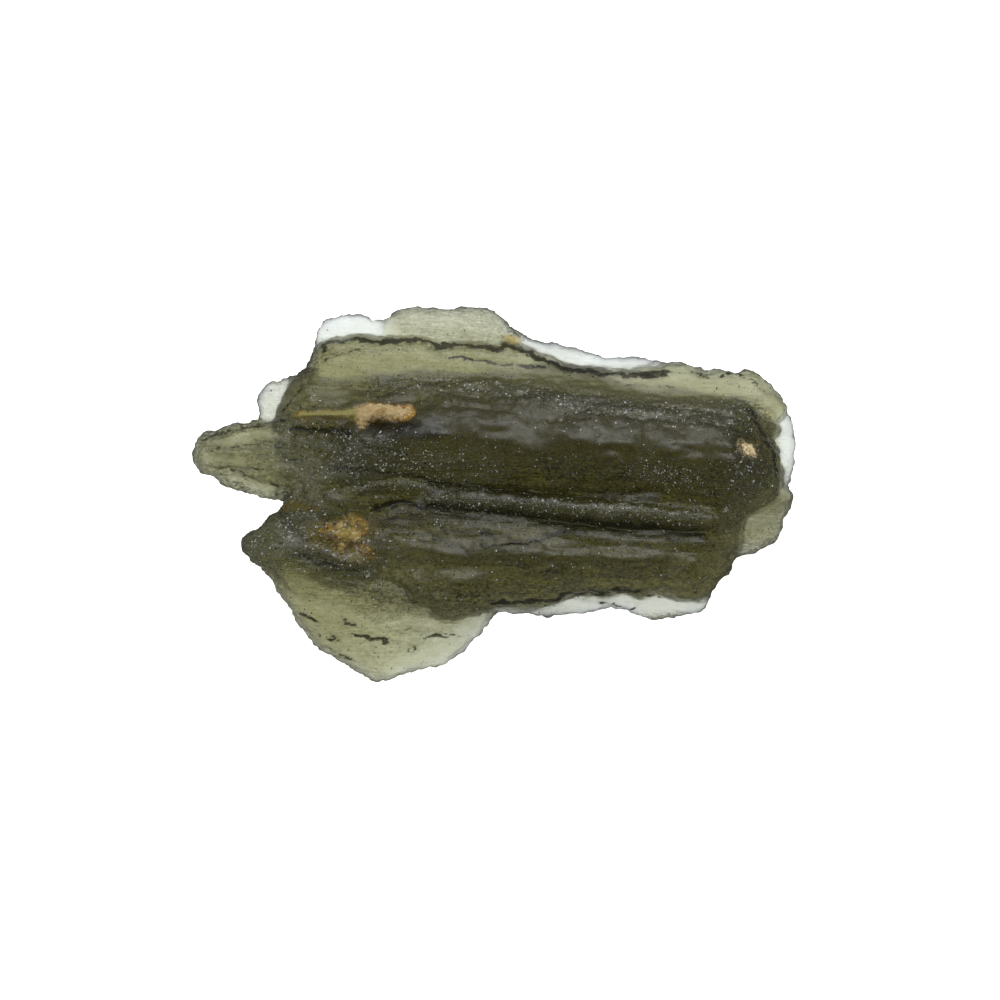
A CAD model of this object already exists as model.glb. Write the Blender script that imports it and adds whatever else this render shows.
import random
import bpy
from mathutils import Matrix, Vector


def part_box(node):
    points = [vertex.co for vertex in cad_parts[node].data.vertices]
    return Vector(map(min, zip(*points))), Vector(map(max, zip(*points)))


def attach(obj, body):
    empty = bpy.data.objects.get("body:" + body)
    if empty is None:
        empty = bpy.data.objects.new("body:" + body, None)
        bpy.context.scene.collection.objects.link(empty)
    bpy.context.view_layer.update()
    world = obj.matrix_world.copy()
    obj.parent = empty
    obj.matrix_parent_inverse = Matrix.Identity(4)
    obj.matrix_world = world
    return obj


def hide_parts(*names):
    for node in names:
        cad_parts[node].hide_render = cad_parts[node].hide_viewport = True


bl_info = {
    "name": "Moldavite",
    "version": (1, 0, 0),
    "blender": (4, 5, 0),
    "location": "3D View > Sidebar > Moldavite",
    "description": "A raw moldavite with clay in its pits, lying on a pale floor",
    "category": "Object",
}

from collections import namedtuple
from math import radians

import bpy
import numpy as np
from mathutils import Matrix, Vector, noise

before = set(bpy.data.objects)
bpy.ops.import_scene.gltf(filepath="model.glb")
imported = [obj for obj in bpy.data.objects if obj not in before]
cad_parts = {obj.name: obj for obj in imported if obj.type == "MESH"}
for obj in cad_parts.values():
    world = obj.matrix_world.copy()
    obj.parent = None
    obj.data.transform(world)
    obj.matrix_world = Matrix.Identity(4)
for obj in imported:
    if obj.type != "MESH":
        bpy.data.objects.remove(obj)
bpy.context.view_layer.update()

MM = 0.001
STONE_LOW, STONE_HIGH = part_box("moldavite")

# Marks on the stone are placed in picture points, Y down, as seen from above. The spike's tip is at
# PLAN_LEFT, the far edge at PLAN_TOP, and the stone is PLAN_LENGTH long.
PLAN_LEFT = 196.0
PLAN_TOP = 310.0
PLAN_LENGTH = 599.0
POINT = (STONE_HIGH.x - STONE_LOW.x) / PLAN_LENGTH

# The grain of the glass runs along X and falls this much towards the blunt end.
GRAIN_FALL = 0.06

# A mark along the stone: its points, its half-width in points, how high it stands or how deep it is cut, and
# how dark it looks.
Mark = namedtuple("Mark", "points width relief dark")

# A zone of one finish: the line along its middle, its half-width in points, and how strong it is.
Zone = namedtuple("Zone", "points width strength", defaults=(1.0,))

# A mark's darkness fades to nothing this many half-widths away from it.
MARK_REACH = 2.5

# Noise vectors differ from run to run unless they are seeded.
WAVER_SEED = 7

MARKS = [
    # The crinkled edge of the pale strip, and the line inside it
    Mark([(322, 350), (330, 343), (345, 341), (357, 339), (375, 342), (398, 342), (415, 340), (430, 343),
          (438, 348), (456, 346), (480, 346), (497, 350), (506, 345), (517, 350), (531, 353), (538, 359),
          (548, 361), (560, 367), (580, 371), (602, 374), (640, 376), (665, 374)], 3.2, 0.08 * MM, 1.0),
    Mark([(447, 358), (460, 358), (480, 361), (500, 364), (520, 366), (545, 368)], 2.0, -0.07 * MM, 0.9),
    Mark([(545, 362), (565, 372), (600, 380), (640, 386), (680, 388)], 1.6, -0.05 * MM, 0.7),
    Mark([(668, 372), (690, 374), (712, 378), (735, 374), (752, 380), (764, 392)], 1.8, 0.04 * MM, 0.8),
    Mark([(326, 362), (340, 357), (350, 352), (362, 347), (372, 344)], 2.0, -0.05 * MM, 0.8),
    # The shoulder between the pale strip and the body
    Mark([(320, 385), (350, 385), (380, 383), (400, 381), (420, 377), (440, 377), (470, 379), (500, 378),
          (540, 379), (560, 381), (580, 385), (600, 388), (620, 395), (640, 396), (660, 396), (680, 393),
          (700, 398), (735, 404)], 3.0, 0.05 * MM, 0.5),
    # The crusty end of the body
    Mark([(748, 412), (757, 424), (765, 440), (770, 450), (774, 462), (777, 478)], 3.0, 0.09 * MM, 0.9),
    # Furrows along the crown's near side
    Mark([(330, 468), (380, 472), (420, 478), (440, 484), (480, 488), (540, 495)], 3.0, -0.12 * MM, 0.8),
    Mark([(380, 507), (400, 503), (470, 510), (520, 515), (545, 520), (600, 525), (650, 528), (700, 535)],
         4.0, -0.16 * MM, 1.0),
    # Wavy lines over the terrace
    Mark([(380, 518), (405, 521), (430, 520)], 2.0, -0.07 * MM, 0.8),
    Mark([(440, 527), (460, 531), (480, 533), (520, 537)], 2.0, -0.07 * MM, 0.8),
    Mark([(480, 544), (500, 546), (540, 540), (560, 530), (585, 533)], 2.2, -0.08 * MM, 0.9),
    Mark([(420, 540), (440, 541), (455, 545), (470, 553)], 2.0, -0.07 * MM, 0.8),
    Mark([(500, 563), (520, 565), (540, 570), (580, 572)], 2.0, -0.07 * MM, 0.7),
    Mark([(600, 541), (640, 546), (680, 550), (715, 560)], 2.0, -0.06 * MM, 0.6),
    # The near edge of the terrace, and a thin line on the clear rim
    Mark([(490, 603), (510, 601), (555, 599), (560, 595), (572, 592), (600, 593), (612, 589), (640, 590)],
         2.4, -0.08 * MM, 1.0),
    Mark([(600, 603), (620, 606), (630, 609), (636, 608)], 1.4, -0.04 * MM, 0.9),
    Mark([(503, 606), (522, 602), (545, 605), (556, 602)], 1.3, -0.04 * MM, 0.8),
    Mark([(562, 601), (578, 598), (592, 601)], 1.3, -0.04 * MM, 0.7),
    Mark([(642, 594), (662, 598), (684, 597), (694, 590)], 1.3, -0.04 * MM, 0.8),
    # The slanted step from the body to the lobe
    Mark([(380, 572), (395, 580), (412, 592), (430, 605), (445, 615)], 4.0, -0.09 * MM, 0.45),
    # Short dark cuts on the lobe
    Mark([(300, 614), (309, 617), (318, 620)], 2.4, -0.06 * MM, 1.0),
    Mark([(318, 634), (326, 646), (340, 655), (352, 660)], 1.6, -0.05 * MM, 0.8),
    Mark([(365, 616), (378, 622), (392, 628), (402, 631)], 1.4, -0.04 * MM, 0.7),
    Mark([(398, 634), (410, 630), (422, 633), (436, 628)], 1.4, -0.04 * MM, 0.7),
    Mark([(310, 576), (326, 584), (345, 588), (362, 596)], 1.6, -0.05 * MM, 0.6),
    Mark([(345, 604), (362, 606), (380, 612)], 1.4, -0.04 * MM, 0.6),
    Mark([(344, 621), (350, 623), (356, 625)], 2.4, -0.06 * MM, 1.0),
    Mark([(355, 634), (370, 637), (385, 640)], 2.8, -0.07 * MM, 1.0),
    Mark([(330, 636), (340, 640)], 2.2, -0.05 * MM, 0.9),
    Mark([(425, 637), (440, 635), (458, 636)], 2.0, -0.05 * MM, 0.9),
    Mark([(405, 649), (409, 645), (416, 647), (414, 651), (406, 651)], 1.4, -0.04 * MM, 0.9),
    Mark([(310, 592), (325, 598), (338, 606)], 2.0, -0.05 * MM, 0.7),
    # Streaks on the spike and its dark far edge
    Mark([(220, 441), (235, 439), (250, 438)], 2.0, 0.05 * MM, 0.0),
    Mark([(255, 432), (265, 433), (275, 436)], 2.0, 0.05 * MM, 0.0),
    Mark([(225, 454), (238, 455), (250, 456)], 2.0, 0.05 * MM, 0.0),
    Mark([(203, 440), (215, 436), (236, 429), (258, 425), (285, 420)], 3.0, 0.0, 0.8),
    Mark([(230, 470), (255, 478), (280, 488)], 2.2, -0.07 * MM, 0.8),
    Mark([(210, 449), (235, 448), (262, 444), (288, 446)], 1.7, -0.05 * MM, 0.8),
    Mark([(214, 467), (240, 468), (268, 468)], 1.6, -0.05 * MM, 0.8),
    Mark([(250, 454), (276, 456), (302, 462)], 1.8, -0.06 * MM, 0.8),
    # Dark hollows beside the clay
    Mark([(380, 424), (396, 427), (412, 426)], 5.0, -0.14 * MM, 1.0),
    Mark([(290, 430), (320, 430), (350, 433)], 3.5, -0.12 * MM, 0.9),
    Mark([(286, 412), (291, 400), (303, 388)], 3.0, -0.06 * MM, 0.8),
    Mark([(300, 555), (330, 566), (360, 570)], 3.5, -0.08 * MM, 0.8),
]

# Bands with a silvery frost of fine grains
FROSTED_ZONES = [
    Zone([(385, 384), (430, 385), (480, 388), (530, 391), (580, 396)], 9),
    Zone([(560, 400), (620, 407), (680, 413), (745, 418)], 13),
    Zone([(300, 450), (360, 460), (430, 468), (480, 474)], 26),
    Zone([(440, 503), (500, 505), (590, 509), (640, 513), (690, 518)], 9),
    Zone([(255, 540), (290, 535), (330, 540), (365, 552)], 26),
    Zone([(735, 470), (745, 490), (730, 520)], 14),
    Zone([(640, 470), (690, 478)], 12),
]

# Slopes and furrows that look darker than the glass round them
SHADED_ZONES = [
    Zone([(205, 455), (240, 458), (280, 462)], 24, 0.45),
    Zone([(250, 545), (285, 530), (330, 545), (360, 560)], 30, 0.6),
    Zone([(365, 580), (400, 592), (435, 606)], 15, 0.4),
    Zone([(375, 424), (400, 429), (435, 430)], 11, 0.85),
    Zone([(430, 486), (500, 492), (560, 497), (650, 496)], 8, 0.7),
    Zone([(440, 510), (520, 516), (600, 527), (690, 534)], 10, 0.85),
    Zone([(745, 520), (765, 515), (778, 505)], 16, 0.4),
    Zone([(735, 420), (760, 460), (770, 480), (735, 515)], 18, 0.2),
    Zone([(300, 438), (350, 440), (400, 444)], 12, 0.2),
]

# Smoother glass, with lower relief and fewer streaks
SMOOTH_ZONES = [
    Zone([(425, 414), (480, 418), (540, 432), (600, 440), (700, 446)], 24),
    Zone([(420, 446), (470, 449), (520, 452)], 14, 0.85),
    Zone([(400, 560), (480, 556), (600, 563), (715, 572)], 26, 0.6),
]

# Thin glass with hardly a streak
CLEAR_ZONES = [
    Zone([(325, 330), (385, 330)], 18),
    Zone([(405, 326), (490, 328)], 18, 0.55),
    Zone([(530, 353), (600, 364), (680, 370), (720, 378)], 12),
    Zone([(266, 396), (275, 412), (288, 390)], 16, 0.75),
    Zone([(782, 408), (789, 450), (785, 485)], 12),
    Zone([(500, 609), (560, 606), (640, 604), (695, 603)], 10),
    Zone([(395, 668), (440, 652), (476, 628)], 16, 0.9),
    Zone([(330, 372), (420, 362), (500, 366), (560, 378), (640, 386), (720, 392)], 15, 0.65),
    Zone([(690, 384), (735, 386), (762, 388), (778, 402)], 13, 0.8),
    Zone([(600, 382), (680, 386), (740, 389)], 11, 0.85),
    Zone([(316, 397), (340, 394), (362, 398)], 9, 0.45),
    Zone([(215, 455), (250, 460), (290, 464)], 20, 0.3),
    Zone([(300, 605), (330, 625), (370, 650), (430, 640)], 34, 0.65),
    Zone([(740, 530), (770, 515)], 22, 0.5),
    # Pale fibres along the spike
    Zone([(220, 443), (236, 440), (252, 438)], 3.6),
    Zone([(257, 434), (268, 434), (278, 437)], 3.2),
    Zone([(206, 458), (224, 461), (243, 462)], 4.0, 0.8),
    Zone([(230, 474), (252, 482), (270, 489)], 4.0, 0.8),
]

# Glass stained by a thin film of clay
CLAY_FILMS = [
    Zone([(320, 532), (345, 530), (368, 528)], 12),
    Zone([(340, 545), (352, 552), (368, 552)], 9),
    Zone([(372, 412), (410, 414)], 9),
    Zone([(288, 506), (320, 507)], 4),
    Zone([(508, 338), (518, 341)], 4),
    Zone([(300, 416), (340, 416), (364, 416)], 5),
]

# Plan places of the loose pale grains that stand out, and the size share that they have
PALE_GRAINS = [
    (595, 422), (614, 424), (662, 412), (701, 425), (714, 425), (720, 435), (710, 492), (770, 486),
    (575, 414), (478, 392), (506, 395), (330, 530), (324, 533), (292, 545), (640, 505), (452, 402),
]
PALE_GRAIN_SHARE = 0.9

# The plan corners between which dust falls, the height that it falls from, and the seed of its chances
DUST_LOW = (200, 330)
DUST_HIGH = (790, 670)
DUST_FALL = 20 * MM
DUST_SEED = 7

# The clay crumb is a thin strip left of this plan place. The change takes this many points.
STRIP_END = 362
STRIP_FADE = 6

# The picture is this many plan points wide and high, and its scale is true at this height.
PICTURE = 1000
TRUE_HEIGHT = 2 * MM

# The camera's focal length in millimetres
LENS = 200

FLOOR_WIDTH = 0.8
FLOOR_HEIGHT = -0.02 * MM

# The glass has no relief at its seat and all of it above this height.
SEAT_FADE = 0.3 * MM

# Each lamp: its name, its place in metres, its width, its share of the lamps' power, and whether it glints
LAMPS = [
    ("far lamp", (0.0, 0.19, 0.1), 0.06, 0.28, True),
    ("high lamp", (0.05, 0.1, 0.2), 0.1, 0.8, False),
    ("left lamp", (-0.18, -0.05, 0.1), 0.1, 0.4, False),
]


def pick_only(obj):
    """Leaves only this object selected, and active."""
    if bpy.context.object and bpy.context.object.mode != "OBJECT":
        bpy.ops.object.mode_set(mode="OBJECT")
    bpy.ops.object.select_all(action="DESELECT")
    obj.select_set(True)
    bpy.context.view_layer.objects.active = obj


def apply_modifier(obj, kind, **values):
    """Adds a modifier with these values and applies it."""
    pick_only(obj)
    modifier = obj.modifiers.new(kind.title(), kind)
    for name, value in values.items():
        setattr(modifier, name, value)
    bpy.ops.object.modifier_apply(modifier=modifier.name)


def copy_of_node(node, name):
    """A new object with the node's shape, its loose triangles merged."""
    piece = bpy.data.objects.new(name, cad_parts[node].data.copy())
    bpy.context.scene.collection.objects.link(piece)
    piece.data.materials.clear()
    pick_only(piece)
    bpy.ops.object.mode_set(mode="EDIT")
    bpy.ops.mesh.select_all(action="SELECT")
    bpy.ops.mesh.remove_doubles(threshold=0.001 * MM)
    bpy.ops.object.mode_set(mode="OBJECT")
    return piece


def places(obj):
    """The vertices' places as an array."""
    co = np.empty(len(obj.data.vertices) * 3)
    obj.data.vertices.foreach_get("co", co)
    return co.reshape(-1, 3)


def steepness(obj):
    """The Z part of each vertex's normal: 1 where it faces up, 0 on a wall, -1 where it faces down."""
    normals = np.empty(len(obj.data.vertices) * 3)
    obj.data.vertex_normals.foreach_get("vector", normals)
    return normals.reshape(-1, 3)[:, 2]


def facing_up(obj):
    """1 at the vertices that face up, 0 at those that face down."""
    return np.clip(0.5 + 1.5 * steepness(obj), 0, 1)


def on_plan(co):
    """Places as plan points."""
    return np.stack([PLAN_LEFT + (co[:, 0] - STONE_LOW.x) / POINT,
                     PLAN_TOP - (co[:, 1] - STONE_HIGH.y) / POINT], axis=1)


def from_plan(point):
    """A plan point as X and Y."""
    return (STONE_LOW.x + (point[0] - PLAN_LEFT) * POINT, STONE_HIGH.y - (point[1] - PLAN_TOP) * POINT)


def distance_to(spots, line):
    """How far each plan spot is from a line of plan points."""
    nearest = np.full(len(spots), np.inf)
    knots = np.array(line, float)
    for a, b in zip(knots[:-1], knots[1:]):
        run = b - a
        share = np.clip((spots - a) @ run / (run @ run), 0, 1)
        nearest = np.minimum(nearest, np.hypot(*(spots - a - share[:, None] * run).T))
    return nearest


def zone_mask(spots, zones):
    """1 inside the zones, fading to 0 at their edges."""
    mask = np.zeros(len(spots))
    for zone in zones:
        share = np.clip(1.5 - distance_to(spots, zone.points) / zone.width, 0, 1)
        mask = np.maximum(mask, zone.strength * share * share * (3 - 2 * share))
    return mask


def marks_on(spots):
    """The relief and the darkness that the marks give each plan spot."""
    relief = np.zeros(len(spots))
    dark = np.zeros(len(spots))
    for mark in MARKS:
        distance = distance_to(spots, mark.points)
        relief += mark.relief * np.exp(-((distance / mark.width) ** 2))
        dark = np.maximum(dark, mark.dark * np.clip(1 - distance / (MARK_REACH * mark.width), 0, 1))
    return relief, dark


def wavered(spots):
    """Plan spots shifted a little to and fro, so that marks and zones have ragged edges."""
    noise.seed_set(WAVER_SEED)
    shifts = [noise.noise_vector(Vector((x / 13, y / 7, 0)))[:2] for x, y in spots]
    fine = [noise.noise_vector(Vector((x / 5, y / 3, 5)))[:2] for x, y in spots]
    return spots + np.array(shifts) * (5, 3.5) + np.array(fine) * (2, 1.6)


def fibres(co):
    """Splintery relief along the grain, from -1 to 1."""
    found = np.empty(len(co))
    for i, (x, y, z) in enumerate(co / MM):
        sway = 0.35 * noise.noise(Vector((x / 2.2, y / 1.6, z / 2)))
        across = y + GRAIN_FALL * x + sway
        broad = noise.fractal(Vector((x / 2.4, across / 0.42, z / 0.5)), 0.8, 2.0, 3)
        fine = noise.noise(Vector((x / 0.8, across / 0.16, z / 0.2)))
        found[i] = 0.8 * broad + 0.35 * fine
    return found


def pits(co):
    """Shallow etched pits, 1 in the middle of each."""
    found = np.empty(len(co))
    for i, (x, y, z) in enumerate(co / MM):
        spacing = noise.voronoi(Vector((x / 0.75, y / 0.45, z / 0.45)))[0][0]
        strength = noise.noise(Vector((x / 3, y / 2, z / 2 + 9)))
        found[i] = max(0.0, 1 - 2.6 * spacing) * max(0.0, 0.4 + strength)
    return found


def crinkles(co):
    """Small bites and bulges for broken edges, from -1 to 1."""
    spots = [Vector((x / 0.5, y / 0.42, z / 0.6 + 20)) for x, y, z in co / MM]
    return np.array([noise.fractal(spot, 0.5, 2.2, 3) for spot in spots])


def crumbs(co, layer):
    """Crumbly relief for clay and sand, with a pattern of its own in each layer of the noise."""
    spots = [Vector((x / 0.35, y / 0.3, z / 0.3 + layer)) for x, y, z in co / MM]
    return np.array([noise.fractal(spot, 0.7, 2.0, 4) for spot in spots])


def push_out(obj, amounts):
    """Moves the surface along its normals by these amounts, as a painted group under a Displace modifier."""
    low = float(amounts.min())
    span = float(amounts.max()) - low
    group = obj.vertex_groups.new(name="relief")
    for i, weight in enumerate((amounts - low) / span):
        group.add([i], float(weight), "REPLACE")
    apply_modifier(obj, "DISPLACE", vertex_group=group.name, strength=span, mid_level=-low / span)
    obj.vertex_groups.clear()


def flatten_seat(obj):
    """Cuts off whatever reaches below the surface that the stone rests on."""
    pick_only(obj)
    bpy.ops.object.mode_set(mode="EDIT")
    bpy.ops.mesh.select_all(action="SELECT")
    bpy.ops.mesh.bisect(plane_co=(0, 0, 0), plane_no=(0, 0, 1), use_fill=True, clear_inner=True,
                        threshold=0.0001 * MM)
    bpy.ops.object.mode_set(mode="OBJECT")


def paint(obj, name, values):
    """Keeps one value at each vertex, for the materials."""
    layer = obj.data.attributes.new(name, "FLOAT", "POINT")
    layer.data.foreach_set("value", np.asarray(values, np.float32))


def shade_smooth(obj, angle):
    """Shades the piece smooth, with edges sharp over this angle."""
    pick_only(obj)
    bpy.ops.object.shade_smooth_by_angle(angle=angle)


def finish_piece(obj, material, slot, *nodes):
    """Gives the piece its material and says what it rides on and stands for."""
    obj.data.materials.clear()
    obj.data.materials.append(material)
    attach(obj, "root")
    if nodes:
        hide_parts(*nodes)


def add_node(tree, kind, **inputs):
    """A node with some inputs set: a value is set, and a socket is linked. Underscores stand for spaces."""
    node = tree.nodes.new(kind)
    for name, value in inputs.items():
        socket = node.inputs[name.replace("_", " ")]
        if isinstance(value, bpy.types.NodeSocket):
            tree.links.new(value, socket)
        else:
            socket.default_value = value
    return node


def stretched_noise(tree, places_out, size, detail, roughness):
    """Noise whose features are size metres long, wide and high, with the grain's fall."""
    fall = add_node(tree, "ShaderNodeVectorRotate", Vector=places_out, Angle=GRAIN_FALL)
    fall.rotation_type = "Z_AXIS"
    fine = tuple(1 / s for s in size)
    mapped = add_node(tree, "ShaderNodeMapping", Vector=fall.outputs[0], Scale=fine)
    made = add_node(tree, "ShaderNodeTexNoise", Vector=mapped.outputs[0], Scale=1.0, Detail=detail,
                    Roughness=roughness)
    return made.outputs["Fac"]


def fill_socket(tree, socket, value):
    """Links the value to the socket if it is a socket too, and else sets it. A colour gets its alpha."""
    if isinstance(value, bpy.types.NodeSocket):
        tree.links.new(value, socket)
    elif isinstance(value, tuple):
        socket.default_value = (*value, 1.0)
    else:
        socket.default_value = value


def blend_values(tree, share, a, b):
    """A value between a and b."""
    node = tree.nodes.new("ShaderNodeMix")
    for i, value in zip((0, 2, 3), (share, a, b)):
        fill_socket(tree, node.inputs[i], value)
    return node.outputs[0]


def blend_colours(tree, share, a, b):
    """A colour between a and b."""
    node = tree.nodes.new("ShaderNodeMix")
    node.data_type = "RGBA"
    for i, value in zip((0, 6, 7), (share, a, b)):
        fill_socket(tree, node.inputs[i], value)
    return node.outputs[2]


def step_between(tree, value, low, high):
    """0 under low, 1 over high."""
    node = add_node(tree, "ShaderNodeMapRange", Value=value)
    node.interpolation_type = "SMOOTHSTEP"
    node.inputs["From Min"].default_value = low
    node.inputs["From Max"].default_value = high
    return node.outputs[0]


def reckon(tree, operation, a, b=0.0):
    """One sum of two values, of the kind that the operation names."""
    node = tree.nodes.new("ShaderNodeMath")
    node.operation = operation
    for socket, value in zip(node.inputs, (a, b)):
        fill_socket(tree, socket, value)
    return node.outputs[0]


def times(tree, *values):
    """The product of all the values."""
    product = values[0]
    for value in values[1:]:
        product = reckon(tree, "MULTIPLY", product, value)
    return product


def contours(tree, value, half_width):
    """Thin lines where a noise passes its middle: 1 on them and 0 away from them."""
    away = reckon(tree, "ABSOLUTE", reckon(tree, "SUBTRACT", value, 0.5))
    return step_between(tree, away, half_width, 0.3 * half_width)


def grain_cells(tree, places_out, size):
    """Small angular grains, each with three chance values of its own."""
    fine = (1 / size, 1.25 / size, 1 / size)
    mapped = add_node(tree, "ShaderNodeMapping", Vector=places_out, Scale=fine)
    cells = add_node(tree, "ShaderNodeTexVoronoi", Vector=mapped.outputs[0], Scale=1.0)
    parted = add_node(tree, "ShaderNodeSeparateColor", Color=cells.outputs["Color"])
    return parted.outputs


def etched_group():
    """The node group of an etched surface: a height for bump, bright specks, grains, and dark wavy lines."""
    name = "Etched Surface"
    if name in bpy.data.node_groups:
        return bpy.data.node_groups[name]
    tree = bpy.data.node_groups.new(name, "ShaderNodeTree")
    tree.interface.new_socket("Grain", in_out="INPUT", socket_type="NodeSocketFloat").default_value = 1.0
    for output in ("Height", "Specks", "Grains", "Lines"):
        tree.interface.new_socket(output, in_out="OUTPUT", socket_type="NodeSocketFloat")
    given = tree.nodes.new("NodeGroupInput")
    kept = tree.nodes.new("NodeGroupOutput")
    here = tree.nodes.new("ShaderNodeTexCoord").outputs["Object"]
    striae = stretched_noise(tree, here, (1.3 * MM, 0.16 * MM, 0.2 * MM), 4.0, 0.6)
    fuzz = stretched_noise(tree, here, (0.16 * MM, 0.1 * MM, 0.1 * MM), 3.0, 0.7)
    chances = grain_cells(tree, here, 0.12 * MM)
    long_waves = stretched_noise(tree, here, (2.6 * MM, 0.34 * MM, 0.5 * MM), 2.0, 0.5)
    short_waves = stretched_noise(tree, here, (1.1 * MM, 0.2 * MM, 0.3 * MM), 3.0, 0.55)
    lines = reckon(tree, "MAXIMUM", contours(tree, long_waves, 0.012), contours(tree, short_waves, 0.016))
    height = blend_values(tree, 0.5, striae, blend_values(tree, 0.4, fuzz, chances["Blue"]))
    scaled = times(tree, height, given.outputs["Grain"])
    tree.links.new(scaled, kept.inputs["Height"])
    tree.links.new(step_between(tree, chances["Green"], 0.72, 0.95), kept.inputs["Specks"])
    tree.links.new(chances["Red"], kept.inputs["Grains"])
    tree.links.new(lines, kept.inputs["Lines"])
    return tree


def new_material(name):
    """A material with its Principled shader and its tree."""
    material = bpy.data.materials.new(name)
    material.use_nodes = True
    return material, material.node_tree, material.node_tree.nodes["Principled BSDF"]


def read_marks(tree, *names):
    """The values that are painted on the piece under these names."""
    marks = {}
    for name in names:
        node = tree.nodes.new("ShaderNodeAttribute")
        node.attribute_name = name
        marks[name] = node.outputs["Fac"]
    return marks


def glass_streaks(tree, look, here, marks, etched):
    """Masks of dark patches, streaks and grains, few on the smooth crown and fewer in the clear ledges."""
    clear = marks["clear"]
    spared = blend_values(tree, marks["smooth"], 1.0, 0.2)
    uneven = stretched_noise(tree, here, (0.8 * MM, 0.26 * MM, 0.4 * MM), 4.0, 0.65)
    mottle_room = times(tree, reckon(tree, "SUBTRACT", 1.0, times(tree, clear, clear)), spared)
    mottled = times(tree, step_between(tree, uneven, 0.48, 0.6), mottle_room, look.mottle_share)
    fine = stretched_noise(tree, here, (1.5 * MM, 0.09 * MM, 0.3 * MM), 4.0, 0.7)
    streaks = reckon(tree, "MAXIMUM", step_between(tree, fine, 0.47, 0.62), etched.outputs["Lines"])
    streaked = times(tree, streaks, blend_values(tree, clear, spared, 0.14), look.streak_share)
    grain_room = blend_values(tree, clear, blend_values(tree, marks["smooth"], 1.0, 0.75), 0.1)
    grained = times(tree, etched.outputs["Grains"], grain_room, look.speck_share)
    return mottled, streaked, grained


def glass_colour(tree, look, here, marks, etched):
    """The surface colour, darkened by streaks, shade, broken edges and cuts, with the clay film on top."""
    cut = tuple(look.cut)
    mottled, streaked, grained = glass_streaks(tree, look, here, marks, etched)
    colour = blend_colours(tree, marks["clear"], tuple(look.clear), tuple(look.thin))
    colour = blend_colours(tree, mottled, colour, tuple(look.streak))
    colour = blend_colours(tree, streaked, colour, tuple(look.streak))
    colour = blend_colours(tree, grained, colour, cut)
    colour = blend_colours(tree, times(tree, marks["frost"], look.frost_share), colour, tuple(look.frost))
    colour = blend_colours(tree, marks["shade"], colour, cut)
    colour = blend_colours(tree, times(tree, marks["rim"], look.rim_share), colour, cut)
    wobble = stretched_noise(tree, here, (0.3 * MM, 0.14 * MM, 0.2 * MM), 3.0, 0.7)
    wobble = times(tree, reckon(tree, "SUBTRACT", wobble, 0.5), 0.9)
    crinkled = step_between(tree, reckon(tree, "ADD", marks["dark"], wobble), 0.55, 0.75)
    colour = blend_colours(tree, times(tree, marks["dark"], 0.35), colour, cut)
    colour = blend_colours(tree, crinkled, colour, cut)
    return blend_colours(tree, marks["film"], colour, tuple(look.film))


def frost_bloom(tree, look, here, marks, etched):
    """How strongly the frost glints: it lies in patches and shows in its grains."""
    uneven = stretched_noise(tree, here, (1.4 * MM, 0.45 * MM, 0.5 * MM), 3.0, 0.6)
    patches = step_between(tree, uneven, 0.36, 0.6)
    return times(
        tree,
        blend_values(tree, marks["frost"], look.plain_bloom, 1.0),
        blend_values(tree, patches, 0.25, 1.0),
        blend_values(tree, marks["smooth"], 1.0, 0.3),
        blend_values(tree, marks["clear"], 1.0, 0.1),
        reckon(tree, "SUBTRACT", 1.0, marks["rim"]),
        blend_values(tree, etched.outputs["Specks"], 0.28, 1.0),
    )


def glass_material(look):
    """Olive glass: see-through, etched, darker in its cuts and frosted on its ridges."""
    material, tree, shader = new_material("moldavite glass")
    here = tree.nodes.new("ShaderNodeTexCoord").outputs["Object"]
    marks = read_marks(tree, "dark", "frost", "shade", "smooth", "clear", "film", "rim")
    etched = tree.nodes.new("ShaderNodeGroup")
    etched.node_tree = etched_group()
    uneven = reckon(tree, "MAXIMUM", marks["frost"], blend_values(tree, marks["smooth"], 0.5, 0.1))
    tree.links.new(uneven, etched.inputs["Grain"])

    tree.links.new(glass_colour(tree, look, here, marks, etched), shader.inputs["Base Color"])
    tree.links.new(frost_bloom(tree, look, here, marks, etched), shader.inputs["Coat Weight"])
    shader.inputs["Coat Roughness"].default_value = look.frost_roughness
    shader.inputs["Coat IOR"].default_value = look.frost_ior
    rough = blend_values(tree, marks["frost"], look.roughness, look.frosted_base)
    tree.links.new(rough, shader.inputs["Roughness"])
    height = etched.outputs["Height"]
    bump = add_node(tree, "ShaderNodeBump", Strength=1.0, Distance=look.bump, Height=height)
    tree.links.new(bump.outputs[0], shader.inputs["Normal"])
    shader.inputs["Transmission Weight"].default_value = look.see_through
    shader.inputs["IOR"].default_value = look.ior
    shader.inputs["Metallic"].default_value = 0.0

    # Shadow rays pass straight through the surface, and the glass takes up light along every ray
    path = tree.nodes.new("ShaderNodeLightPath")
    lets_light = add_node(tree, "ShaderNodeBsdfTransparent", Color=(0.9, 0.92, 0.86, 1.0))
    mixed = tree.nodes.new("ShaderNodeMixShader")
    tree.links.new(path.outputs["Is Shadow Ray"], mixed.inputs[0])
    tree.links.new(shader.outputs[0], mixed.inputs[1])
    tree.links.new(lets_light.outputs[0], mixed.inputs[2])
    shown = tree.nodes["Material Output"]
    tree.links.new(mixed.outputs[0], shown.inputs["Surface"])
    absorbs = add_node(tree, "ShaderNodeVolumeAbsorption", Color=(*look.tint, 1.0), Density=look.density)
    tree.links.new(absorbs.outputs[0], shown.inputs["Volume"])
    return material


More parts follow.
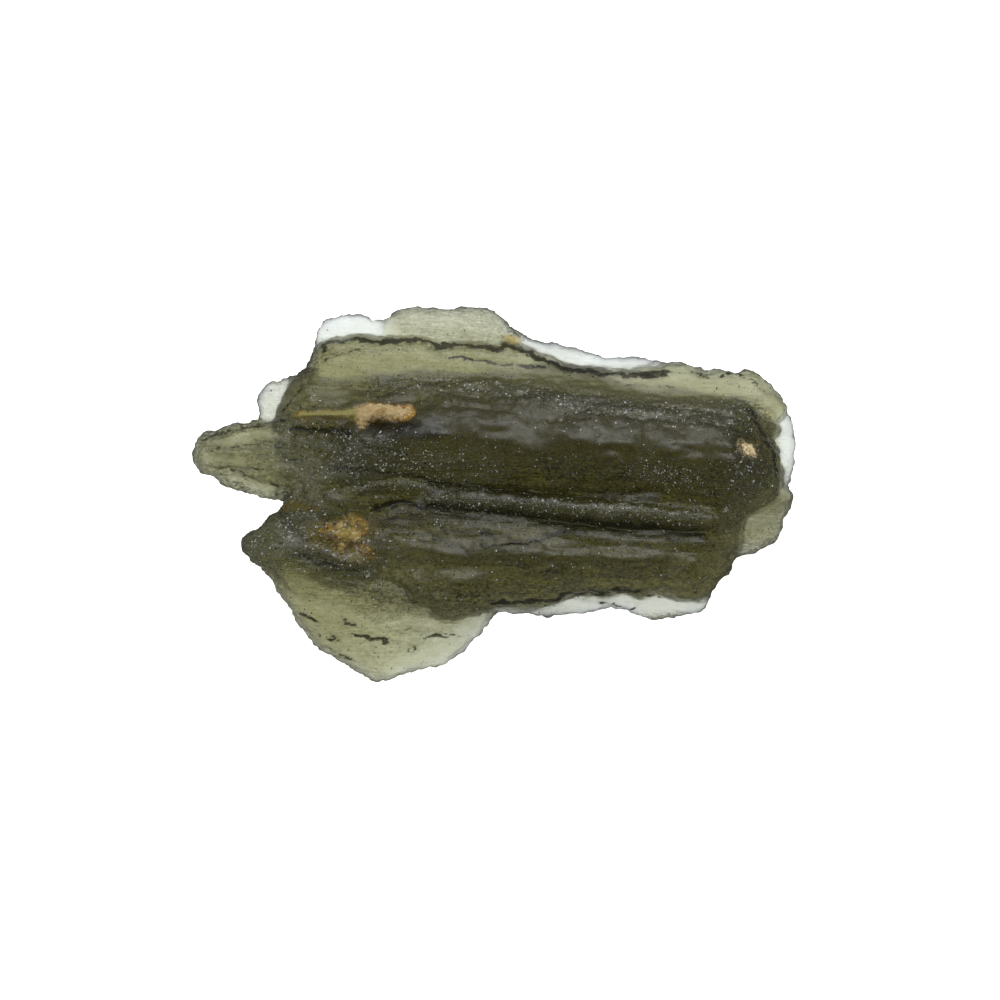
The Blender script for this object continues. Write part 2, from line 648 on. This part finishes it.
def clay_material(name, dry, damp, pale):
    """Crumbly clay or sand: two colours in patches, with pale specks."""
    material, tree, shader = new_material(name)
    here = tree.nodes.new("ShaderNodeTexCoord").outputs["Object"]
    etched = tree.nodes.new("ShaderNodeGroup")
    etched.node_tree = etched_group()
    patches = step_between(tree, stretched_noise(tree, here, (0.4 * MM,) * 3, 3.0, 0.6), 0.42, 0.6)
    body = blend_colours(tree, patches, dry, damp)
    tree.links.new(blend_colours(tree, etched.outputs["Specks"], body, pale), shader.inputs["Base Color"])
    height = etched.outputs["Height"]
    bump = add_node(tree, "ShaderNodeBump", Strength=0.8, Distance=0.04 * MM, Height=height)
    tree.links.new(bump.outputs[0], shader.inputs["Normal"])
    tree.links.new(blend_values(tree, patches, 0.95, 0.7), shader.inputs["Roughness"])
    return material


def crumb_material(dry, damp, strip):
    """Orange clay whose thin strip is yellower and lies nearly flat in its furrow."""
    material = clay_material("orange clay", dry, damp, (0.46, 0.36, 0.21))
    tree = material.node_tree
    shader = tree.nodes["Principled BSDF"]
    clay = shader.inputs["Base Color"].links[0].from_socket
    thin = read_marks(tree, "strip")["strip"]
    tree.links.new(blend_colours(tree, thin, clay, strip), shader.inputs["Base Color"])
    return material


def grit_material(dark, middle, pale):
    """Mineral dust: each grain has a tone of its own, and a few are pale."""
    material, tree, shader = new_material("mineral dust")
    etched = tree.nodes.new("ShaderNodeGroup")
    etched.node_tree = etched_group()
    body = blend_colours(tree, step_between(tree, etched.outputs["Grains"], 0.3, 0.9), dark, middle)
    tree.links.new(blend_colours(tree, etched.outputs["Specks"], body, pale), shader.inputs["Base Color"])
    shader.inputs["Roughness"].default_value = 0.6
    return material


class GlassSettings(bpy.types.PropertyGroup):
    """How the glass is meshed, carved and finished."""
    cell: bpy.props.FloatProperty(
        name="Cell", description="Size of the mesh's cells", default=0.108 * MM, unit="LENGTH", precision=6)
    density: bpy.props.FloatProperty(
        name="Density", description="How strongly the glass takes up light, for each metre", default=950.0)
    tint: bpy.props.FloatVectorProperty(
        name="Tint", description="Colour that the thick glass lets through", subtype="COLOR", size=3,
        default=(0.545, 0.52, 0.16))
    clear: bpy.props.FloatVectorProperty(
        name="Clear", description="Surface colour of the clear glass", subtype="COLOR", size=3,
        default=(0.88, 0.92, 1.0))
    thin: bpy.props.FloatVectorProperty(
        name="Thin", description="Surface colour of the thin clear ledges", subtype="COLOR", size=3,
        default=(0.72, 0.77, 0.98))
    streak_share: bpy.props.FloatProperty(
        name="Streak share", description="How strong the streaks are", default=0.8, subtype="FACTOR")
    mottle_share: bpy.props.FloatProperty(
        name="Mottle share", description="How strong the darker patches are", default=0.4, subtype="FACTOR")
    speck_share: bpy.props.FloatProperty(
        name="Speck share", description="How strong the dark specks are", default=0.97, subtype="FACTOR")
    streak: bpy.props.FloatVectorProperty(
        name="Streak", description="Surface colour of the streaks along the grain", subtype="COLOR", size=3,
        default=(0.1, 0.1, 0.06))
    frost: bpy.props.FloatVectorProperty(
        name="Frost", description="Surface colour of the frosted bands", subtype="COLOR", size=3,
        default=(0.3, 0.34, 0.38))
    frost_share: bpy.props.FloatProperty(
        name="Frost share", description="How much the frosted bands hide what is below them", default=0.35,
        subtype="FACTOR")
    plain_bloom: bpy.props.FloatProperty(
        name="Plain bloom", description="Share of the frost's glints on the plain surface", default=0.15,
        subtype="FACTOR")
    cut: bpy.props.FloatVectorProperty(
        name="Cut", description="Surface colour of the dark cuts", subtype="COLOR", size=3,
        default=(0.006, 0.006, 0.004))
    rim_share: bpy.props.FloatProperty(
        name="Rim share", description="How dark the broken edges are", default=0.75, subtype="FACTOR")
    film: bpy.props.FloatVectorProperty(
        name="Film", description="Colour of the thin clay film", subtype="COLOR", size=3,
        default=(0.5, 0.36, 0.1))
    see_through: bpy.props.FloatProperty(
        name="See-through", description="Share of the light that enters the glass", default=1.0,
        subtype="FACTOR", min=0, max=1)
    roughness: bpy.props.FloatProperty(
        name="Roughness", description="Roughness of the plain surface", default=0.45, subtype="FACTOR")
    frosted_base: bpy.props.FloatProperty(
        name="Base roughness", description="Roughness of the glass below the frost", default=0.42,
        subtype="FACTOR")
    ior: bpy.props.FloatProperty(
        name="IOR", description="How strongly the glass bends light", default=1.49)
    frost_roughness: bpy.props.FloatProperty(
        name="Frosted roughness", description="Roughness of the frost's grains", default=0.5,
        subtype="FACTOR")
    frost_ior: bpy.props.FloatProperty(
        name="Frost IOR", description="How strongly the frost's grains reflect", default=2.8)
    fibre: bpy.props.FloatProperty(
        name="Fibre", description="Height of the splintery relief", default=0.08 * MM, unit="LENGTH",
        precision=6)
    crinkle: bpy.props.FloatProperty(
        name="Crinkle", description="Height of the bites in broken edges", default=0.2 * MM, unit="LENGTH",
        precision=6)
    pit: bpy.props.FloatProperty(
        name="Pit", description="Depth of the etched pits", default=0.06 * MM, unit="LENGTH", precision=6)
    bump: bpy.props.FloatProperty(
        name="Bump", description="Height of the finest relief", default=0.11 * MM, unit="LENGTH",
        precision=6)


class ClaySettings(bpy.types.PropertyGroup):
    """How the lumps of clay and the sand grain are meshed and let down."""
    cell: bpy.props.FloatProperty(
        name="Cell", description="Size of the mesh's cells", default=0.05 * MM, unit="LENGTH", precision=6)
    sink: bpy.props.FloatProperty(
        name="Sink", description="How far the lumps go down into their pits", default=0.26 * MM,
        unit="LENGTH", precision=6)
    cake_sink: bpy.props.FloatProperty(
        name="Cake sink", description="How far the flat cake goes down into its pit", default=0.4 * MM,
        unit="LENGTH", precision=6)
    rough: bpy.props.FloatProperty(
        name="Rough", description="Height of the clay's crumbly relief", default=0.11 * MM, unit="LENGTH",
        precision=6)


class GritSettings(bpy.types.PropertyGroup):
    """How much dust falls and how fine it is."""
    tries: bpy.props.IntProperty(
        name="Tries", description="Number of places where a grain of dust may cling", default=40000)
    size: bpy.props.FloatProperty(
        name="Size", description="Radius of the largest grains", default=0.08 * MM, unit="LENGTH",
        precision=6)


class StageSettings(bpy.types.PropertyGroup):
    """How bright the floor, the room and the lamps are, and how wide the picture is."""
    glow: bpy.props.FloatProperty(
        name="Glow", description="Brightness of the lit floor", default=1.15)
    room: bpy.props.FloatProperty(
        name="Room", description="Brightness of the room", default=0.08)
    room_through: bpy.props.FloatProperty(
        name="Room through the glass", description="Brightness of the room as the glass lets it through",
        default=0.9)
    lamp: bpy.props.FloatProperty(
        name="Lamp", description="Power that each lamp's share is taken of", default=0.4, unit="POWER")
    frame_width: bpy.props.FloatProperty(
        name="Frame width", description="Width of the picture at the stone", default=PICTURE * POINT,
        unit="LENGTH", precision=4)


class MOLDAVITE_OT_glass(bpy.types.Operator):
    """Builds the glass: the stone's shape with its fibres, pits and cuts"""
    bl_idname = "moldavite.build_glass"
    bl_label = "Build glass"

    def carve(self, stone, look):
        """Gives the surface its fibres, pits, broken edges and cuts, none of them at the seat."""
        co = places(stone)
        up = facing_up(stone)
        spots = wavered(on_plan(co))
        cut_relief, _ = marks_on(spots)
        smooth = np.maximum(zone_mask(spots, SMOOTH_ZONES), 0.7 * zone_mask(spots, CLEAR_ZONES)) * up
        above_seat = np.clip(co[:, 2] / SEAT_FADE, 0, 1)
        relief = look.fibre * fibres(co) * (1 - 0.75 * smooth) - look.pit * pits(co) * (1 - 0.6 * smooth)
        edges = look.crinkle * crinkles(co) * (1 - np.abs(steepness(stone))) ** 0.5
        push_out(stone, above_seat * (relief + edges) + up * cut_relief)

    def paint_finishes(self, stone):
        """Paints how dark, frosted, shaded, smooth, clear, stained and broken the surface is."""
        up = facing_up(stone)
        spots = wavered(on_plan(places(stone)))
        paint(stone, "dark", marks_on(spots)[1] * up)
        paint(stone, "frost", zone_mask(spots, FROSTED_ZONES) * up)
        paint(stone, "shade", zone_mask(spots, SHADED_ZONES) * up)
        paint(stone, "smooth", zone_mask(spots, SMOOTH_ZONES) * up)
        paint(stone, "clear", zone_mask(spots, CLEAR_ZONES))
        paint(stone, "film", zone_mask(spots, CLAY_FILMS) * up)
        paint(stone, "rim", np.clip(1.4 - 2.2 * np.abs(steepness(stone)), 0, 1))

    def execute(self, context):
        look = context.scene.moldavite_glass
        stone = copy_of_node("moldavite", "moldavite_glass")
        apply_modifier(stone, "REMESH", mode="VOXEL", voxel_size=look.cell)
        apply_modifier(stone, "SMOOTH", factor=0.5, iterations=4)
        self.carve(stone, look)
        flatten_seat(stone)
        self.paint_finishes(stone)
        pick_only(stone)
        bpy.ops.object.shade_smooth()
        finish_piece(stone, glass_material(look), "moldavite_glass", "moldavite")
        return {"FINISHED"}


class MOLDAVITE_OT_clay(bpy.types.Operator):
    """Builds the clay crumb, the clay cake and the sand grain"""
    bl_idname = "moldavite.build_clay"
    bl_label = "Build clay"

    def lump(self, look, node, name, layer, sink, strip_end=0.0):
        """A crumbly lump in the node's place, let down into the glass, and thin left of strip_end."""
        piece = copy_of_node(node, name)
        apply_modifier(piece, "REMESH", mode="VOXEL", voxel_size=look.cell)
        apply_modifier(piece, "SMOOTH", factor=0.5, iterations=3)
        co = places(piece)
        thin = np.clip((strip_end - on_plan(co)[:, 0]) / STRIP_FADE, 0, 1)
        push_out(piece, look.rough * (crumbs(co, layer) * (1 - 0.6 * thin) - 0.7 * thin))
        paint(piece, "strip", thin)
        pick_only(piece)
        bpy.ops.object.mode_set(mode="EDIT")
        bpy.ops.mesh.select_all(action="SELECT")
        bpy.ops.transform.translate(value=(0, 0, -sink))
        bpy.ops.object.mode_set(mode="OBJECT")
        shade_smooth(piece, radians(35))
        return piece

    def execute(self, context):
        look = context.scene.moldavite_clay
        orange = crumb_material(dry=(0.36, 0.27, 0.13), damp=(0.26, 0.16, 0.055), strip=(0.22, 0.2, 0.07))
        ochre = clay_material(
            "ochre clay", dry=(0.32, 0.23, 0.07), damp=(0.15, 0.12, 0.045), pale=(0.45, 0.4, 0.25))
        tan = clay_material("tan sand", dry=(0.5, 0.4, 0.22), damp=(0.36, 0.24, 0.1), pale=(0.66, 0.6, 0.45))
        crumb = self.lump(look, "clay_crumb", "clay_crumb_lump", 0, look.sink, strip_end=STRIP_END)
        finish_piece(crumb, orange, "clay", "clay_crumb")
        cake = self.lump(look, "clay_cake", "clay_cake_patch", 4, look.cake_sink)
        finish_piece(cake, ochre, "clay", "clay_cake")
        grain = self.lump(look, "sand_grain", "sand_grain_chip", 8, look.sink)
        finish_piece(grain, tan, "sand", "sand_grain")
        return {"FINISHED"}


class MOLDAVITE_OT_grit(bpy.types.Operator):
    """Scatters fine mineral dust over the stone, thickest on its frosted bands"""
    bl_idname = "moldavite.build_grit"
    bl_label = "Build grit"

    def dusty_spots(self, tries):
        """Plan spots that dust clings to, with a size share for each."""
        draw = np.random.default_rng(DUST_SEED)
        spots = draw.uniform(DUST_LOW, DUST_HIGH, (tries, 2))
        cling = 0.18 + 0.82 * zone_mask(spots, FROSTED_ZONES)
        cling *= 1 - 0.95 * zone_mask(spots, CLEAR_ZONES)
        cling *= 1 - 0.6 * zone_mask(spots, SMOOTH_ZONES)
        kept = spots[draw.random(tries) < cling]
        placed = [(spot, PALE_GRAIN_SHARE) for spot in PALE_GRAINS]
        return placed + [(spot, draw.uniform(0.25, 0.6)) for spot in kept]

    def execute(self, context):
        look = context.scene.moldavite_grit
        draw = random.Random(DUST_SEED)
        stone = bpy.data.objects["moldavite_glass"]
        bpy.ops.object.select_all(action="DESELECT")
        bpy.ops.mesh.primitive_uv_sphere_add(segments=4, ring_count=2, radius=look.size)
        grit = bpy.context.object
        grit.name = "fine_grit"
        grain = [v.co.copy() for v in grit.data.vertices]
        sides = [tuple(p.vertices) for p in grit.data.polygons]
        corners, faces = [], []
        for spot, share in self.dusty_spots(look.tries):
            x, y = from_plan(spot)
            met, place, normal, _ = stone.ray_cast(Vector((x, y, DUST_FALL)), Vector((0, 0, -1)))
            if not met:
                continue
            stretch = Vector((draw.uniform(0.8, 1.5), draw.uniform(0.6, 1.1), draw.uniform(0.35, 0.6)))
            turn = Matrix.LocRotScale(place, normal.to_track_quat("Z", "X"), share * stretch)
            faces += [[len(corners) + i for i in side] for side in sides]
            corners += [turn @ co for co in grain]
        grit.data = bpy.data.meshes.new("fine_grit")
        grit.data.from_pydata(corners, [], faces)
        dust = grit_material(dark=(0.01, 0.01, 0.007), middle=(0.2, 0.21, 0.18), pale=(0.5, 0.52, 0.49))
        finish_piece(grit, dust, "sand")
        return {"FINISHED"}


class MOLDAVITE_OT_stage(bpy.types.Operator):
    """Sets the pale floor, the soft lamps, the room and the camera"""
    bl_idname = "moldavite.build_stage"
    bl_label = "Build stage"

    def floor(self, look):
        """A wide pale floor just below the stone. It glows evenly and doesn't show in reflections."""
        bpy.ops.object.select_all(action="DESELECT")
        bpy.ops.mesh.primitive_plane_add(size=FLOOR_WIDTH, location=(0, 0, FLOOR_HEIGHT))
        floor = bpy.context.object
        floor.name = "pale_floor"
        material, _, shader = new_material("pale floor")
        shader.inputs["Base Color"].default_value = (0.86, 0.86, 0.86, 1)
        shader.inputs["Roughness"].default_value = 0.9
        shader.inputs["Specular IOR Level"].default_value = 0.0
        shader.inputs["Emission Color"].default_value = (1, 1, 1, 1)
        shader.inputs["Emission Strength"].default_value = look.glow
        floor.data.materials.append(material)
        floor.visible_glossy = False

    def lamp(self, name, place, size, power, glints):
        """A square soft lamp that faces the stone, and shows in its glints or not."""
        data = bpy.data.lights.new(name, "AREA")
        data.size = size
        data.energy = power
        lamp = bpy.data.objects.new(name, data)
        lamp.visible_glossy = glints
        lamp.location = place
        lamp.rotation_euler = (-Vector(place)).to_track_quat("-Z", "Y").to_euler()
        bpy.context.scene.collection.objects.link(lamp)

    def room(self, look):
        """A dim even room that is white to the camera and bright through the glass."""
        world = bpy.data.worlds.new("soft room")
        bpy.context.scene.world = world
        world.use_nodes = True
        tree = world.node_tree
        back = tree.nodes["Background"]
        path = tree.nodes.new("ShaderNodeLightPath")
        seen = blend_values(tree, path.outputs["Is Transmission Ray"], look.room, look.room_through)
        tree.links.new(blend_values(tree, path.outputs["Is Camera Ray"], seen, 1.0), back.inputs["Strength"])
        back.inputs["Color"].default_value = (1, 1, 1, 1)

    def camera(self, look):
        """Straight above, with the picture's centre where the plan has it."""
        data = bpy.data.cameras.new("camera")
        data.lens = LENS
        data.clip_start = 1 * MM
        camera = bpy.data.objects.new("camera", data)
        x, y = from_plan((PICTURE / 2, PICTURE / 2))
        height = data.lens / data.sensor_width * look.frame_width
        camera.location = (x, y, TRUE_HEIGHT + height)
        bpy.context.scene.collection.objects.link(camera)
        bpy.context.scene.camera = camera

    def execute(self, context):
        look = context.scene.moldavite_stage
        self.floor(look)
        for name, place, size, share, glints in LAMPS:
            self.lamp(name, place, size, share * look.lamp, glints)
        self.room(look)
        self.camera(look)
        context.scene.view_settings.view_transform = "Standard"
        return {"FINISHED"}


class MOLDAVITE_PT_panel(bpy.types.Panel):
    """A button for each operator, with its settings below"""
    bl_idname = "MOLDAVITE_PT_panel"
    bl_label = "Moldavite"
    bl_space_type = "VIEW_3D"
    bl_region_type = "UI"
    bl_category = "Moldavite"

    def draw(self, context):
        for operator, settings in zip(OPERATORS, (name for name, _ in SETTINGS)):
            box = self.layout.box()
            box.operator(operator.bl_idname)
            group = getattr(context.scene, settings)
            for name in group.__annotations__:
                box.prop(group, name)


OPERATORS = (MOLDAVITE_OT_glass, MOLDAVITE_OT_clay, MOLDAVITE_OT_grit, MOLDAVITE_OT_stage)
SETTINGS = (
    ("moldavite_glass", GlassSettings),
    ("moldavite_clay", ClaySettings),
    ("moldavite_grit", GritSettings),
    ("moldavite_stage", StageSettings),
)


def register():
    for name, group in SETTINGS:
        bpy.utils.register_class(group)
        setattr(bpy.types.Scene, name, bpy.props.PointerProperty(type=group))
    for kind in (*OPERATORS, MOLDAVITE_PT_panel):
        bpy.utils.register_class(kind)


def unregister():
    for kind in (MOLDAVITE_PT_panel, *OPERATORS):
        bpy.utils.unregister_class(kind)
    for name, group in SETTINGS:
        delattr(bpy.types.Scene, name)
        bpy.utils.unregister_class(group)


def main():
    register()
    bpy.ops.moldavite.build_glass()
    bpy.ops.moldavite.build_clay()
    bpy.ops.moldavite.build_grit()
    bpy.ops.moldavite.build_stage()


if __name__ == "__main__":
    main()
